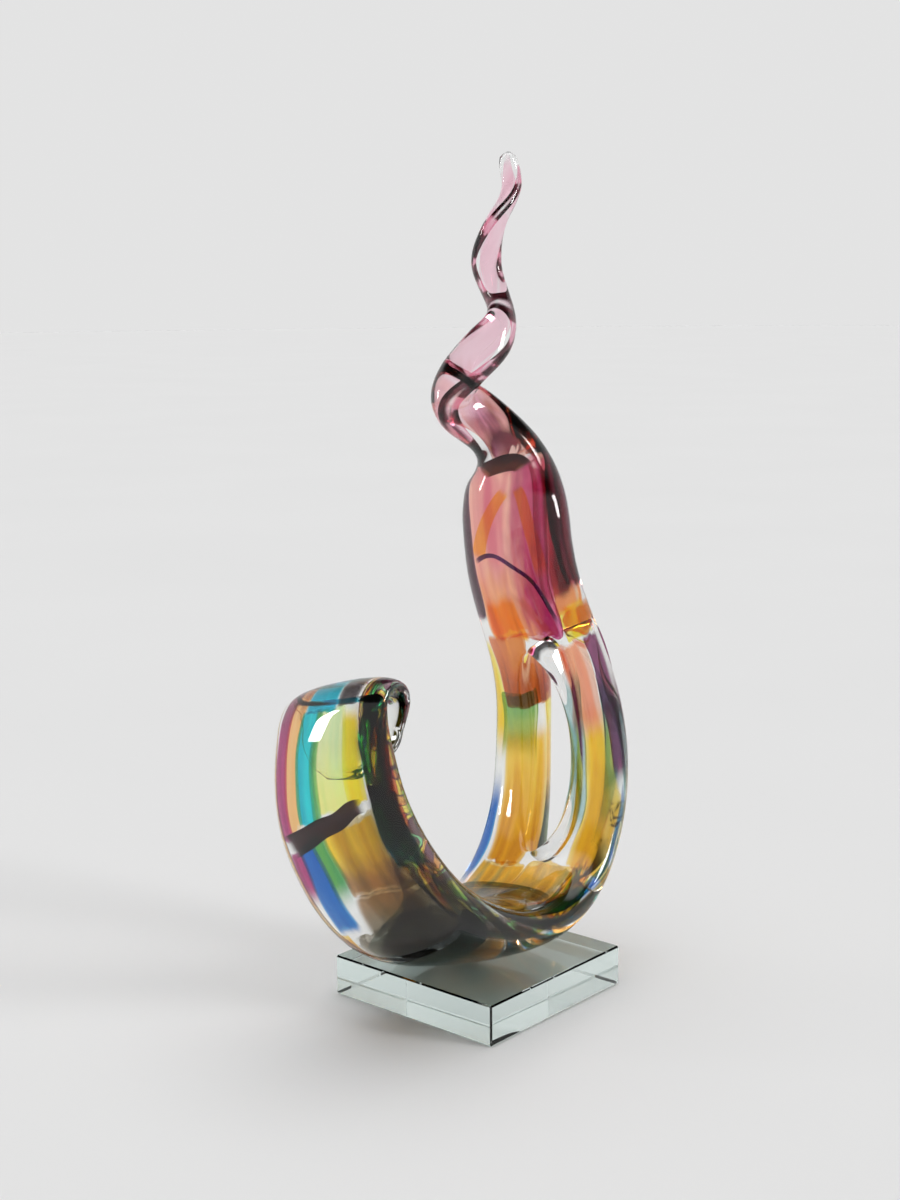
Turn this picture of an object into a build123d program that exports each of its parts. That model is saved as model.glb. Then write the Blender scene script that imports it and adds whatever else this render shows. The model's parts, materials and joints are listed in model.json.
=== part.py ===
from build123d import *
import math
import os

# Glass wave sculpture: a cased glass ribbon with coloured glass laid inside it,
# ground flat underneath and bonded to a square glass plinth.
# Millimetres, +Z up, origin at the centre of the plinth's underside.

# ---- driving dimensions -------------------------------------------------
PLINTH_SIDE = 100.0      # square plinth, plan size
PLINTH_H = 20.0          # plinth thickness
PLINTH_BEVEL = 0.8       # polished bevel on every plinth edge
FILM_T = 0.2             # adhesive film between plinth and ground flat
FLAT_Z = PLINTH_H + FILM_T   # height of the flat ground under the wave
PARTING = 0.2            # gap drawn at each colour-to-clear fused boundary
SIDE_GAP = 0.4           # clear glass left beside each ribbon, per side
SLOT_FROM, SLOT_TO = 15.95, 20.05   # slot ends, as station numbers
SLOT_HALF = 8.6          # half width of the eye slot at its middle
SLOT_FLARE = 9.0         # how far each slot wall rounds back at the faces
SEAM_KINK = 4.0          # degrees of crease along the two edge seams

# Stations along the ribbon, from the rolled lip to the drawn-out tip:
# centre x, y, z, full width, full thickness, roundness exponent,
# then the unit direction of the width.
STATIONS = [
    (-89.6, -5.0, 130.8, 15.0, 2.0, 2.00, 0.0000, 0.9781, -0.2079),
    (-88.5, -5.0, 135.0, 34.0, 4.5, 2.00, 0.0000, 0.9781, -0.2079),
    (-86.0, -5.0, 148.0, 52.0, 7.0, 2.10, 0.0000, 0.9781, -0.2079),
    (-85.9, -4.9, 159.2, 61.0, 8.5, 2.20, 0.0000, 0.9744, -0.2250),
    (-88.5, -4.6, 165.5, 66.0, 10.4, 2.30, 0.0169, 0.9701, -0.2419),
    (-94.8, -4.4, 168.1, 69.0, 12.0, 2.30, 0.0335, 0.9607, -0.2756),
    (-101.0, -4.3, 165.2, 71.0, 13.2, 2.30, 0.0450, 0.9528, -0.3000),
    (-104.0, -4.3, 157.6, 72.5, 15.4, 2.35, 0.0480, 0.9440, -0.3265),
    (-104.2, -4.5, 138.0, 77.0, 22.0, 2.40, 0.0350, 0.9181, -0.3948),
    (-101.3, -6.5, 116.5, 78.0, 26.0, 2.40, 0.0000, 0.9063, -0.4226),
    (-94.6, -8.5, 98.0, 78.0, 28.0, 2.40, -0.0219, 0.8954, -0.4446),
    (-81.4, -10.3, 76.3, 78.0, 29.0, 2.40, -0.0385, 0.8821, -0.4695),
    (-62.2, -11.4, 56.4, 77.5, 29.2, 2.30, -0.0466, 0.8898, -0.4540),
    (-37.5, -11.0, 42.6, 77.5, 29.0, 2.20, -0.0484, 0.9226, -0.3827),
    (-10.0, -9.2, 35.6, 78.0, 28.7, 2.20, -0.0674, 0.9636, -0.2588),
    (18.5, -6.7, 38.2, 78.5, 28.5, 2.20, -0.1120, 0.9827, -0.1478),
    (43.5, -4.6, 53.5, 77.5, 28.1, 2.30, -0.1385, 0.9857, -0.0958),
    (58.5, -3.6, 79.5, 76.0, 27.9, 2.40, -0.1439, 0.9865, -0.0785),
    (63.4, -2.6, 110.0, 75.0, 27.9, 2.40, -0.1302, 0.9906, -0.0417),
    (61.2, -1.5, 140.0, 71.0, 28.6, 2.40, -0.0906, 0.9950, -0.0420),
    (50.2, -0.2, 171.5, 67.0, 30.8, 2.20, -0.0425, 0.9963, -0.0748),
    (38.8, 1.2, 199.5, 63.0, 33.6, 2.10, -0.0606, 0.9975, -0.0362),
    (31.8, 0.6, 225.0, 59.5, 36.0, 2.00, -0.0852, 0.9959, 0.0294),
    (29.4, -0.5, 245.0, 54.0, 37.0, 2.00, -0.0922, 0.9938, 0.0624),
    (27.6, -1.2, 257.8, 41.0, 33.0, 2.00, -0.2095, 0.9762, -0.0559),
    (19.3, 0.7, 272.4, 29.0, 24.0, 2.00, -0.3400, 0.7796, -0.5259),
    (7.0, 7.2, 284.4, 27.5, 21.5, 2.00, -0.5144, 0.2360, -0.8244),
    (-3.7, 10.3, 294.8, 28.0, 21.0, 2.00, -0.7910, -0.4131, -0.4512),
    (-3.0, 3.4, 306.6, 23.0, 17.0, 2.00, -0.1943, -0.8270, -0.5276),
    (6.0, -3.8, 318.5, 21.0, 16.0, 2.00, 0.4751, -0.6082, -0.6359),
    (14.4, -4.3, 329.9, 17.0, 13.0, 2.00, 0.8971, 0.0300, -0.4407),
    (16.7, 0.7, 341.0, 15.5, 12.0, 2.00, 0.5491, 0.7487, -0.3714),
    (14.7, 4.5, 353.2, 15.0, 11.0, 2.00, -0.2038, 0.9782, -0.0390),
    (10.8, -0.1, 365.1, 13.0, 10.0, 2.00, -0.8938, 0.4471, 0.0346),
    (11.1, -6.6, 377.7, 12.0, 9.0, 2.00, -0.8432, -0.5282, 0.1000),
    (16.8, -8.6, 389.1, 10.0, 8.0, 2.00, -0.0184, -0.9949, 0.0993),
    (18.0, -7.0, 397.8, 9.5, 8.0, 2.00, 0.6503, -0.7419, 0.1635),
    (17.6, -6.4, 402.8, 8.5, 7.5, 2.00, 0.8765, -0.4782, 0.0555),
    (17.6, -6.4, 405.3, 4.5, 4.0, 2.00, 0.9475, -0.3197, -0.0041),
    (17.6, -6.4, 406.0, 1.6, 1.5, 2.00, 0.9675, -0.2528, -0.0016),
]


# ---- the ribbon's own coordinates ---------------------------------------
def natural_spline(u, ys):
    """Natural cubic spline through (u, ys); returns value and slope at x."""
    n = len(u)
    h = [u[i + 1] - u[i] for i in range(n - 1)]
    a, b, c, d = [0.0] * n, [1.0] * n, [0.0] * n, [0.0] * n
    for i in range(1, n - 1):
        a[i], b[i], c[i] = h[i - 1], 2 * (h[i - 1] + h[i]), h[i]
        d[i] = 6 * ((ys[i + 1] - ys[i]) / h[i] - (ys[i] - ys[i - 1]) / h[i - 1])
    for i in range(1, n):
        f = a[i] / b[i - 1]
        b[i] -= f * c[i - 1]
        d[i] -= f * d[i - 1]
    m = [0.0] * n
    m[-1] = d[-1] / b[-1]
    for i in range(n - 2, -1, -1):
        m[i] = (d[i] - c[i] * m[i + 1]) / b[i]

    def at(x):
        k = 0
        while k < n - 2 and x > u[k + 1]:
            k += 1
        p, q, w = (u[k + 1] - x) / h[k], (x - u[k]) / h[k], h[k]
        value = (p * ys[k] + q * ys[k + 1]
                 + ((p**3 - p) * m[k] + (q**3 - q) * m[k + 1]) * w * w / 6)
        slope = ((ys[k + 1] - ys[k]) / w
                 + (-(3 * p * p - 1) * m[k] + (3 * q * q - 1) * m[k + 1]) * w / 6)
        return value, slope

    return at


RUN = [0.0]
for p, q in zip(STATIONS, STATIONS[1:]):
    RUN.append(RUN[-1] + math.dist(p[:3], q[:3]))
CURVES = [natural_spline(RUN, [row[j] for row in STATIONS]) for j in range(9)]


def frame_at(i):
    """Centre, direction, width axis, thickness axis and section at station i."""
    k = min(int(i), len(RUN) - 2)
    v = [c(RUN[k] + (RUN[k + 1] - RUN[k]) * (i - k)) for c in CURVES]
    centre = Vector(v[0][0], v[1][0], v[2][0])
    along = Vector(v[0][1], v[1][1], v[2][1]).normalized()
    wide = Vector(v[6][0], v[7][0], v[8][0]).normalized()
    thick = along.cross(wide).normalized()
    return centre, along, wide, thick, v[3][0], v[4][0], v[5][0]


def station_step(i):
    """Length of path per station number near i."""
    k = min(int(i), len(RUN) - 2)
    return RUN[k + 1] - RUN[k]


def station_between(i0, i1, s):
    """Station number at share s of the path length from i0 to i1."""
    def run_at(i):
        k = min(int(i), len(RUN) - 2)
        return RUN[k] + (RUN[k + 1] - RUN[k]) * (i - k)
    run = run_at(i0) + (run_at(i1) - run_at(i0)) * s
    k = 0
    while k < len(RUN) - 2 and run > RUN[k + 1]:
        k += 1
    return k + (run - RUN[k]) / (RUN[k + 1] - RUN[k])


def power(v, e):
    return math.copysign(abs(v) ** e, v)


def oval(centre, wide, thick, half_w, half_t, n=2.0, points=20):
    """Closed superellipse wire of two halves that meet in a faint crease."""
    def pt(k):
        s = 2 * math.pi * k / points
        return (centre + wide * (power(math.cos(s), 2 / n) * half_w)
                + thick * (power(math.sin(s), 2 / n) * half_t))
    h = points // 2
    c = math.cos(math.radians(SEAM_KINK))
    s = math.sin(math.radians(SEAM_KINK))
    knots = [j / h for j in range(h + 1)]
    e1 = Edge.make_spline([pt(k) for k in range(h + 1)],
                          tangents=[thick * c - wide * s, thick * -c - wide * s],
                          parameters=knots)
    e2 = Edge.make_spline([pt(k) for k in range(h, points + 1)],
                          tangents=[thick * -c + wide * s, thick * c + wide * s],
                          parameters=knots)
    return Wire([e1, e2])


# ---- clear casing: outer body, slot, ground flat ------------------------
def ribbon_section(i):
    centre, _, wide, thick, w, t, n = frame_at(i)
    return oval(centre, wide, thick, w / 2, t / 2, n)


# two sections to each station keep the loft on the path around the curl
outer = Solid.make_loft([ribbon_section(i / 2) for i in range(2 * len(STATIONS) - 1)])


def slot_section(q):
    """Waisted slot section at q from -1 (lower end) to 1 (upper end)."""
    i = (SLOT_FROM + SLOT_TO) / 2 + q * (SLOT_TO - SLOT_FROM) / 2
    centre, _, wide, thick, _, t, _ = frame_at(i)
    open_ = math.sqrt(max(0.0, 1 - q * q))
    g = 0.5 + (SLOT_HALF - 0.5) * open_
    e = 0.8 + (SLOT_FLARE - 0.8) * open_
    d = t / 2 + 3.0

    def at(a, b):
        return centre + wide * a + thick * b

    return Wire([
        Edge.make_three_point_arc(at(g + e, -d), at(g, 0), at(g + e, d)),
        Edge.make_line(at(g + e, d), at(-g - e, d)),
        Edge.make_three_point_arc(at(-g - e, d), at(-g, 0), at(-g - e, -d)),
        Edge.make_line(at(-g - e, -d), at(g + e, -d)),
    ])


slot = Solid.make_loft([slot_section(q) for q in
                        (-1, -0.93, -0.78, -0.5, 0, 0.5, 0.78, 0.93, 1)])
below_flat = Pos(-20, 0, FLAT_Z - 20) * Box(260, 160, 40)
below_flat = below_flat.solids()[0]

body = outer - slot
body = body - below_flat


# ---- coloured glass laid inside the casing ------------------------------
def loft_through(rows, grow):
    """Solid through rows of station, centre across the width as a share of the
    half width, centre through the thickness, half width and half thickness."""
    wires = []
    for i, f, b, ha, hb in rows:
        centre, _, wide, thick, w, _, _ = frame_at(i)
        wires.append(oval(centre + wide * (f * w / 2) + thick * b,
                          wide, thick, ha + grow, hb + grow, 2.0, 16))
    return Solid.make_loft(wires)


def sheet(i0, i1, f0, f1, b=0.0, h=0.2, steps=15, g0=None, g1=None, c=None, k=None):
    """Ribbon from station i0 to i1 that reaches across the width from share f0
    to f1 (g0 and g1 at its end), at depth share b with half depth share h (c
    and k at its end), rounded off at both ends."""
    g0, g1 = (f0 if g0 is None else g0), (f1 if g1 is None else g1)
    c, k = (b if c is None else c), (h if k is None else k)

    def make(grow=0.0):
        a0 = i0 - 1.5 * grow / station_step(i0)
        a1 = i1 + 1.5 * grow / station_step(i1)
        rows = []
        for j in range(steps):
            s = (1 - math.cos(math.pi * j / (steps - 1))) / 2
            i = station_between(a0, a1, s)
            _, _, _, _, w, t, _ = frame_at(i)
            full = 0.4 + 0.6 * (1 - abs(2 * s - 1) ** 4) ** 0.5
            lo, hi = f0 + (g0 - f0) * s, f1 + (g1 - f1) * s
            half = max(0.6, abs(lo - hi) * w / 4 - SIDE_GAP)
            rows.append((i, (lo + hi) / 2, (b + (c - b) * s) * t / 2, half * full,
                         (h + (k - h) * s) * t / 2 * full))
        return loft_through(rows, grow)
    return make


def strand(i0, i1, steps, share_w, share_t, offset):
    """Strand of glass that follows the twisted tip."""
    def make(grow=0.0):
        a0 = i0 - 1.5 * grow / station_step(i0)
        a1 = i1 + 1.5 * grow / station_step(i1)
        rows = []
        for j in range(steps):
            s = j / (steps - 1)
            i = station_between(a0, a1, s)
            _, _, _, _, w, t, _ = frame_at(i)
            full = min(1.0, 0.3 + 3.0 * math.sin(math.pi * s))
            rows.append((i, offset, 0.0, share_w * w / 2 * full, share_t * t / 2 * full))
        return loft_through(rows, grow)
    return make


def thread(points, r, flat=1.0, taper=0.0):
    """Flattened thread of glass through points given as station, share across
    and depth; its width is r times flat, less taper towards its end."""
    def make(grow=0.0):
        at, normals = [], []
        curves = [natural_spline(list(range(len(points))), [p[j] for p in points])
                  for j in range(3)]
        for k in range(3 * (len(points) - 1) + 1):
            i, f, b = (c(k / 3)[0] for c in curves)
            centre, _, wide, thick, w, _, _ = frame_at(i)
            at.append(centre + wide * (f * w / 2) + thick * b)
            normals.append(thick)
        wires = []
        for j, p in enumerate(at):
            d = (at[min(j + 1, len(at) - 1)] - at[max(j - 1, 0)]).normalized()
            side = normals[j].cross(d).normalized()
            up = d.cross(side).normalized()
            if j == 0:
                p = p - d * (1.5 * grow)
            if j == len(at) - 1:
                p = p + d * (1.5 * grow)
            wide_r = r * flat * (1 - taper * j / (len(at) - 1))
            wires.append(oval(p, side, up, wide_r + grow, r + grow, 2.0, 12))
        return Solid.make_loft(wires)
    return make


INLAYS = {
    # crest of the curl
    "cyan_cap": sheet(3.6, 6.45, 0.38, -0.24, -0.42, 0.17),
    "smoke_cap": sheet(3.6, 6.45, -0.27, -0.61, -0.42, 0.17),
    # front layer of the curl, from the far edge to the near edge
    "magenta_ribbon": sheet(4.0, 9.0, 0.82, 0.64, -0.40, 0.17, steps=18),
    "apricot_ribbon": sheet(3.8, 8.96, 0.62, 0.42, -0.42, 0.17, steps=18),
    "cyan_ribbon": sheet(6.58, 8.92, 0.39, 0.14, -0.42, 0.17, g0=0.40, g1=0.20),
    "green_thread": sheet(6.58, 8.90, 0.11, 0.06, -0.42, 0.17, g0=0.17, g1=0.11),
    "lime_ribbon": sheet(6.58, 8.76, 0.03, -0.39, -0.42, 0.17, g0=0.08),
    "yellow_ribbon": sheet(6.6, 8.78, -0.41, -0.62, -0.42, 0.17),
    "plum_ribbon": sheet(3.6, 16.2, -0.65, -0.88, 0.0, 0.60, steps=30, c=0.30, k=0.26),
    # core of the sweep, behind the front layer
    "olive_core": sheet(9.15, 11.55, 0.12, -0.62, 0.12, 0.30),
    # lower sweep
    "magenta_trail": sheet(9.58, 10.6, 0.80, 0.62, -0.40, 0.17, g1=0.72),
    "cobalt_ribbon": sheet(9.52, 11.3, 0.59, 0.38, -0.42, 0.17, g0=0.70, g1=0.42),
    "green_trail": sheet(9.40, 10.9, 0.34, 0.13, -0.42, 0.17, g0=0.38, g1=0.20),
    "amber_ribbon": sheet(9.36, 10.75, 0.10, -0.62, -0.42, 0.17, g0=0.16),
    "smoke_veil": sheet(10.82, 11.58, 0.16, -0.62, -0.42, 0.17, g0=0.36),
    "smoke_core": sheet(11.65, 14.55, 0.70, -0.62, 0.0, 0.46, steps=21),
    "amber_rim": sheet(11.42, 13.0, 0.84, 0.74, -0.30, 0.18),
    "amber_saddle": sheet(14.62, 15.86, 0.74, 0.08, 0.05, 0.40),
    "amber_saddle_near": sheet(14.62, 15.86, 0.04, -0.62, 0.05, 0.40),
    # far leg
    "navy_trail": sheet(15.2, 17.6, 0.93, 0.80, 0.25, 0.26),
    "far_leg_amber": sheet(15.95, 18.35, 0.78, 0.24, -0.34, 0.28, g1=0.36),
    "far_leg_green": sheet(17.75, 19.0, 0.78, 0.36, 0.34, 0.28),
    "far_leg_ember": sheet(18.72, 20.05, 0.78, 0.36, -0.34, 0.28, g1=0.24),
    "far_leg_gold": sheet(17.7, 20.0, 0.93, 0.80, 0.05, 0.34),
    # near leg
    "near_leg_teal": sheet(16.4, 19.6, -0.30, -0.38, 0.0, 0.40, steps=17),
    "near_leg_amber": sheet(15.95, 18.9, -0.40, -0.78, -0.30, 0.26, steps=17, g1=-0.64),
    "near_leg_coral": sheet(18.2, 20.05, -0.40, -0.78, 0.32, 0.24),
    "near_leg_plum": sheet(17.4, 20.05, -0.80, -0.92, -0.30, 0.28, steps=17, g0=-0.66),
    "olive_edge": sheet(16.4, 17.3, -0.81, -0.92, 0.0, 0.34),
    # shoulder
    "rose_core": sheet(20.14, 24.2, 0.67, -0.43, -0.07, 0.48, steps=19),
    "plum_flank": sheet(20.9, 24.1, -0.47, -0.92, 0.0, 0.40, steps=17),
    "plum_flank_far": sheet(20.45, 23.75, 0.92, 0.71, 0.0, 0.36, steps=19),
    "amber_knot": sheet(20.15, 20.95, 0.52, -0.06, 0.62, 0.13),
    "near_leg_gold": sheet(20.12, 20.78, -0.62, -0.92, 0.15, 0.30),
    # tip
    "rose_strand": strand(24.5, 37.8, 32, 0.56, 0.74, -0.18),
    "magenta_thread": strand(24.7, 36.8, 44, 0.17, 0.42, 0.70),
    # threads that lie across the ribbons
    "plum_fold": thread([(9.32, 0.80, -5.0), (9.26, 0.58, -5.4), (9.20, 0.35, -5.6), (9.12, 0.10, -5.6),
                         (9.10, -0.15, -5.6), (8.96, -0.38, -5.4), (8.98, -0.58, -5.2)], 1.5, 3.0, 0.65),
    "amber_vein_far": thread([(21.62, 0.50, 9.4), (21.85, 0.44, 10.0), (22.15, 0.34, 10.6),
                        (22.5, 0.22, 11.2), (22.9, 0.06, 11.4), (23.3, -0.10, 11.4)], 1.6, 1.8, 0.3),
    "amber_vein_near": thread([(21.3, -0.64, 9.4), (21.8, -0.60, 10.0), (22.3, -0.54, 10.5),
                         (22.8, -0.47, 10.9), (23.2, -0.40, 11.2), (23.5, -0.32, 11.4)], 1.4, 1.8, 0.3),
    "violet_trail": thread([(21.58, 0.55, 12.75), (21.72, 0.36, 14.8), (21.78, 0.08, 15.6),
                      (21.60, -0.22, 15.0), (21.35, -0.48, 13.2), (20.90, -0.62, 11.6),
                      (20.45, -0.70, 10.4)], 1.0, 1.3, 0.2),
    "cream_trail": thread([(20.98, -0.14, 10.4), (20.80, -0.24, 10.6), (20.60, -0.35, 10.4),
                     (20.40, -0.44, 10.0), (20.22, -0.50, 9.6)], 1.3, 1.8, 0.3),
    "plum_collar": thread([(24.10, 0.58, 7.0), (24.36, 0.42, 8.2), (24.48, 0.14, 9.2),
                     (24.48, -0.16, 9.2), (24.36, -0.38, 8.2), (24.15, -0.46, 7.4)], 1.8, 1.5, -0.3),
}

nodes = {name: make() for name, make in INLAYS.items()}
body = body - [make(PARTING) for make in INLAYS.values()]

casing = max(body.solids(), key=lambda s: s.volume)
nodes["casing"] = casing
print("casing solids", len(body.solids()), "shells", len(casing.shells()),
      "of", len(nodes))

# ---- adhesive film and plinth -------------------------------------------
flats = [f for f in casing.faces()
         if f.geom_type == GeomType.PLANE and abs(f.center().Z - FLAT_Z) < 1e-3
         and f.normal_at(f.center()).Z < -0.99]
flat = max(flats, key=lambda f: f.area)
nodes["bond_film"] = Solid.extrude(flat, Vector(0, 0, -FILM_T))

plinth = Pos(0, 0, PLINTH_H / 2) * Box(PLINTH_SIDE, PLINTH_SIDE, PLINTH_H)
nodes["plinth"] = chamfer(plinth.edges(), PLINTH_BEVEL)

os.makedirs("parts", exist_ok=True)
for name, shape in nodes.items():
    export_step(shape, f"parts/{name}.step")
    print(name, round(shape.volume, 1), len(shape.solids()), shape.is_valid)
print("flat", round(flat.area, 1), flat.bounding_box())
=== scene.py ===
import bpy
import bmesh
import json
import math
import numpy as np
from mathutils import Matrix, Vector


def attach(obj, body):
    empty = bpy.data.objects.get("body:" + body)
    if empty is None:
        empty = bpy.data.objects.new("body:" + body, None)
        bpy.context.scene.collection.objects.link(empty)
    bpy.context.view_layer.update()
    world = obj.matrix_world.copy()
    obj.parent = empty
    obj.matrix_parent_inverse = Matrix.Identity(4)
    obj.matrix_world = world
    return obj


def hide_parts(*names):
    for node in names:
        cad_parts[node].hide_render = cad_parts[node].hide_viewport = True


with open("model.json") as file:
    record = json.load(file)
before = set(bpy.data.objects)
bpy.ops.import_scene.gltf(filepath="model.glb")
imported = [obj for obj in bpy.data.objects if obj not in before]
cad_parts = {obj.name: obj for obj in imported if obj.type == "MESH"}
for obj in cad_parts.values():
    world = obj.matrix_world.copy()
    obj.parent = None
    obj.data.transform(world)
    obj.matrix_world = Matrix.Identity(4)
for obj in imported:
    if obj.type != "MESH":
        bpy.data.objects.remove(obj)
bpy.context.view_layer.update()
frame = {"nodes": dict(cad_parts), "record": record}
nodes = frame["nodes"]
scene = bpy.context.scene

MM = 0.001
FLAT_Z = 20.2
SLOT_FROM, SLOT_TO = 16.0, 20.0
SLOT_HALF, SLOT_FLARE = 8.6, 6.2

# Stations along the glass ribbon, in millimetres: centre x, y, z, full width,
# full thickness, roundness, then the direction of the width.
STATIONS = np.array([
    (-89.6, -5.0, 130.8, 15.0, 2.0, 2.00, 0.0000, 0.9781, -0.2079),
    (-88.5, -5.0, 135.0, 34.0, 4.5, 2.00, 0.0000, 0.9781, -0.2079),
    (-86.0, -5.0, 148.0, 52.0, 7.0, 2.10, 0.0000, 0.9781, -0.2079),
    (-85.9, -4.9, 159.2, 61.0, 8.5, 2.20, 0.0000, 0.9744, -0.2250),
    (-88.5, -4.6, 165.5, 66.0, 10.4, 2.30, 0.0169, 0.9701, -0.2419),
    (-94.8, -4.4, 168.1, 69.0, 12.0, 2.30, 0.0335, 0.9607, -0.2756),
    (-101.0, -4.3, 165.2, 71.0, 13.2, 2.30, 0.0450, 0.9528, -0.3000),
    (-104.0, -4.3, 157.6, 72.5, 15.4, 2.35, 0.0480, 0.9440, -0.3265),
    (-104.2, -4.5, 138.0, 77.0, 22.0, 2.40, 0.0350, 0.9181, -0.3948),
    (-101.3, -6.5, 116.5, 78.0, 26.0, 2.40, 0.0000, 0.9063, -0.4226),
    (-94.6, -8.5, 98.0, 78.0, 28.0, 2.40, -0.0219, 0.8954, -0.4446),
    (-81.4, -10.3, 76.3, 78.0, 29.0, 2.40, -0.0385, 0.8821, -0.4695),
    (-62.2, -11.4, 56.4, 77.5, 29.2, 2.30, -0.0466, 0.8898, -0.4540),
    (-37.5, -11.0, 42.6, 77.5, 29.0, 2.20, -0.0484, 0.9226, -0.3827),
    (-10.0, -9.2, 35.6, 78.0, 28.7, 2.20, -0.0674, 0.9636, -0.2588),
    (18.5, -6.7, 38.2, 78.5, 28.5, 2.20, -0.1120, 0.9827, -0.1478),
    (43.5, -4.6, 53.5, 77.5, 28.1, 2.30, -0.1385, 0.9857, -0.0958),
    (58.5, -3.6, 79.5, 76.0, 27.9, 2.40, -0.1439, 0.9865, -0.0785),
    (63.4, -2.6, 110.0, 75.0, 27.9, 2.40, -0.1302, 0.9906, -0.0417),
    (61.2, -1.5, 140.0, 71.0, 28.6, 2.40, -0.0906, 0.9950, -0.0420),
    (50.2, -0.2, 171.5, 67.0, 30.8, 2.20, -0.0425, 0.9963, -0.0748),
    (38.8, 1.2, 199.5, 63.0, 33.6, 2.10, -0.0606, 0.9975, -0.0362),
    (31.8, 0.6, 225.0, 59.5, 36.0, 2.00, -0.0852, 0.9959, 0.0294),
    (29.4, -0.5, 245.0, 54.0, 37.0, 2.00, -0.0922, 0.9938, 0.0624),
    (27.6, -1.2, 257.8, 41.0, 33.0, 2.00, -0.2095, 0.9762, -0.0559),
    (19.3, 0.7, 272.4, 29.0, 24.0, 2.00, -0.3400, 0.7796, -0.5259),
    (7.0, 7.2, 284.4, 27.5, 21.5, 2.00, -0.5144, 0.2360, -0.8244),
    (-3.7, 10.3, 294.8, 28.0, 21.0, 2.00, -0.7910, -0.4131, -0.4512),
    (-3.0, 3.4, 306.6, 23.0, 17.0, 2.00, -0.1943, -0.8270, -0.5276),
    (6.0, -3.8, 318.5, 21.0, 16.0, 2.00, 0.4751, -0.6082, -0.6359),
    (14.4, -4.3, 329.9, 17.0, 13.0, 2.00, 0.8971, 0.0300, -0.4407),
    (16.7, 0.7, 341.0, 15.5, 12.0, 2.00, 0.5491, 0.7487, -0.3714),
    (14.7, 4.5, 353.2, 15.0, 11.0, 2.00, -0.2038, 0.9782, -0.0390),
    (10.8, -0.1, 365.1, 13.0, 10.0, 2.00, -0.8938, 0.4471, 0.0346),
    (11.1, -6.6, 377.7, 12.0, 9.0, 2.00, -0.8432, -0.5282, 0.1000),
    (16.8, -8.6, 389.1, 10.0, 8.0, 2.00, -0.0184, -0.9949, 0.0993),
    (18.0, -7.0, 397.8, 9.5, 8.0, 2.00, 0.6503, -0.7419, 0.1635),
    (17.6, -6.4, 402.8, 8.5, 7.5, 2.00, 0.8765, -0.4782, 0.0555),
    (17.6, -6.4, 405.3, 4.5, 4.0, 2.00, 0.9475, -0.3197, -0.0041),
    (17.6, -6.4, 406.0, 1.6, 1.5, 2.00, 0.9675, -0.2528, -0.0016),
])
N_ST = len(STATIONS)
RUN = np.concatenate([[0.0], np.cumsum(np.linalg.norm(np.diff(STATIONS[:, :3], axis=0), axis=1))])


def spline_moments(u, ys):
    n = len(u)
    h = np.diff(u)
    m = np.eye(n)
    r = np.zeros(ys.shape)
    for i in range(1, n - 1):
        m[i, i - 1], m[i, i], m[i, i + 1] = h[i - 1], 2 * (h[i - 1] + h[i]), h[i]
        r[i] = 6 * ((ys[i + 1] - ys[i]) / h[i] - (ys[i] - ys[i - 1]) / h[i - 1])
    return np.linalg.solve(m, r)


MOMENTS = spline_moments(RUN, STATIONS)


def run_at(i):
    k = min(max(int(i), 0), N_ST - 2)
    return RUN[k] + (RUN[k + 1] - RUN[k]) * (i - k)


def frame_at(i):
    """Centre, direction, width axis, thickness axis, width, thickness, roundness."""
    k = min(max(int(i), 0), N_ST - 2)
    x = run_at(i)
    w = RUN[k + 1] - RUN[k]
    p, q = (RUN[k + 1] - x) / w, (x - RUN[k]) / w
    v = (p * STATIONS[k] + q * STATIONS[k + 1]
         + ((p**3 - p) * MOMENTS[k] + (q**3 - q) * MOMENTS[k + 1]) * w * w / 6)
    d = ((STATIONS[k + 1] - STATIONS[k]) / w
         + (-(3 * p * p - 1) * MOMENTS[k] + (3 * q * q - 1) * MOMENTS[k + 1]) * w / 6)
    along = d[:3] / np.linalg.norm(d[:3])
    wide = v[6:9] / np.linalg.norm(v[6:9])
    thick = np.cross(along, wide)
    thick /= np.linalg.norm(thick)
    return v[:3], along, wide, thick, v[3], v[4], v[5]


def station_step(i):
    k = min(max(int(i), 0), N_ST - 2)
    return RUN[k + 1] - RUN[k]


def station_between(i0, i1, s):
    run = run_at(i0) + (run_at(i1) - run_at(i0)) * s
    k = int(np.clip(np.searchsorted(RUN, run) - 1, 0, N_ST - 2))
    return k + (run - RUN[k]) / (RUN[k + 1] - RUN[k])


def power(v, e):
    return math.copysign(abs(v) ** e, v)


# ---- meshes -----------------------------------------------------------------
def make_mesh(name, verts, faces, flow=None):
    me = bpy.data.meshes.new(name)
    me.from_pydata([tuple(np.asarray(v) * MM) for v in verts], [], faces)
    if flow is not None:
        at = me.attributes.new("flow", "FLOAT_VECTOR", "POINT")
        at.data.foreach_set("vector", np.asarray(flow, np.float32).ravel())
    bm = bmesh.new()
    bm.from_mesh(me)
    bmesh.ops.recalc_face_normals(bm, faces=bm.faces)
    bm.to_mesh(me)
    bm.free()
    ob = bpy.data.objects.new(name, me)
    scene.collection.objects.link(ob)
    return ob


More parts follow.
